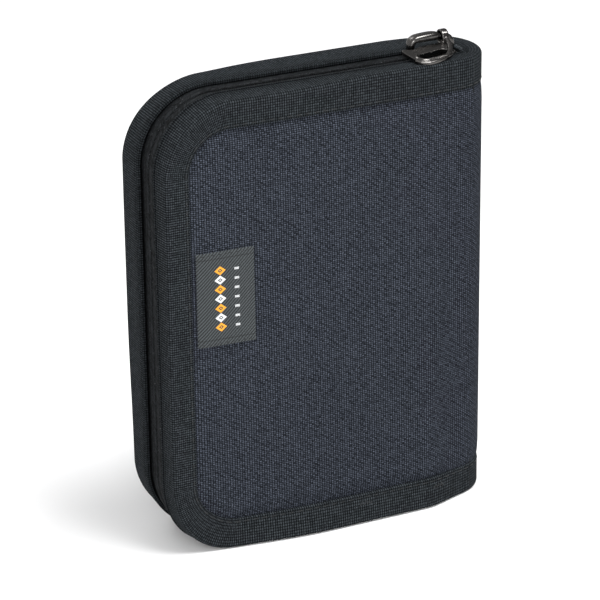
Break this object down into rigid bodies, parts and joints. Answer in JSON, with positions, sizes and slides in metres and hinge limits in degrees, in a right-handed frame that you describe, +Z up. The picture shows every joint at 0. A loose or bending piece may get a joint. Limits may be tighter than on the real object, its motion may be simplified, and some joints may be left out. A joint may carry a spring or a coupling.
{
  "type": "passport wallet",
  "caption": "Padded fabric passport wallet that opens like a book, with bound edges, a zip round three sides, a passport sleeve, a document pocket and card slots.",
  "frame": {"origin": "under the middle of the closed wallet, on the surface it stands on", "axes": "+X from the zip side to the spine, +Y from the front cover to the back cover, +Z up along the wallet's height"},
  "size_m": [0.116, 0.028, 0.1567],
  "materials": {
    "outer_fabric": "coarse plain-woven nylon, blue-black, matt",
    "binding": "ribbed grosgrain tape, black, matt",
    "lining": "fine nylon lining, dark grey",
    "foam": "closed-cell foam",
    "stiffener": "flexible polyethylene board",
    "zip_tape": "herringbone zip tape, black",
    "zip_coil": "nylon coil, black, slight sheen",
    "zip_metal": "black nickel on cast zinc, glossy",
    "label": "satin-woven label, dark grey with lighter diagonal stripes"
  },
  "bodies": {
    "back_cover": {"back_outer_fabric": "outer_fabric", "back_foam": "foam", "back_stiffener": "stiffener", "back_lining": "lining", "back_binding": "binding", "back_zip_tape": "zip_tape", "back_zip_coil": "zip_coil", "back_zip_stop": "zip_metal", "zip_bottom_stop": "zip_metal", "document_pocket": "lining", "document_pocket_edging": "binding", "card_slot_high": "lining", "card_slot_middle": "lining", "card_slot_low": "lining"},
    "spine": {"spine_outer_fabric": "outer_fabric", "spine_foam": "foam", "spine_lining": "lining", "spine_binding_top": "binding", "spine_binding_bottom": "binding"},
    "front_cover": {"front_outer_fabric": "outer_fabric", "front_foam": "foam", "front_stiffener": "stiffener", "front_lining": "lining", "front_binding": "binding", "front_zip_tape": "zip_tape", "front_zip_coil": "zip_coil", "front_zip_stop": "zip_metal", "passport_sleeve": "lining", "passport_sleeve_edging": "binding", "woven_label": "label"},
    "slider": {"slider_body": "zip_metal", "slider_crown": "zip_metal", "slider_lock_spring": "zip_metal"},
    "pull": {"slider_pull": "zip_metal"}
  },
  "joints": [
    {"name": "spine_fold", "type": "hinge", "parent": "back_cover", "child": "spine", "pos_m": [0.05, 0.01292, 0.075], "axis": [0, 0, 1], "range_deg": [0, 90]},
    {"name": "cover_fold", "type": "hinge", "parent": "spine", "child": "front_cover", "pos_m": [0.05, -0.01292, 0.075], "axis": [0, 0, 1], "range_deg": [0, 90]},
    {"name": "zip_slide", "type": "slide", "parent": "back_cover", "child": "slider", "axis": [-1, 0, 0], "range_m": [0, 0.066]},
    {"name": "pull_swing", "type": "hinge", "parent": "slider", "child": "pull", "pos_m": [0.0448, -0.00175, 0.1543], "axis": [-1, 0, 0], "range_deg": [0, 150]}
  ],
  "couplings": [
    {"joint": "cover_fold", "follows": "spine_fold", "ratio": 1}
  ]
}
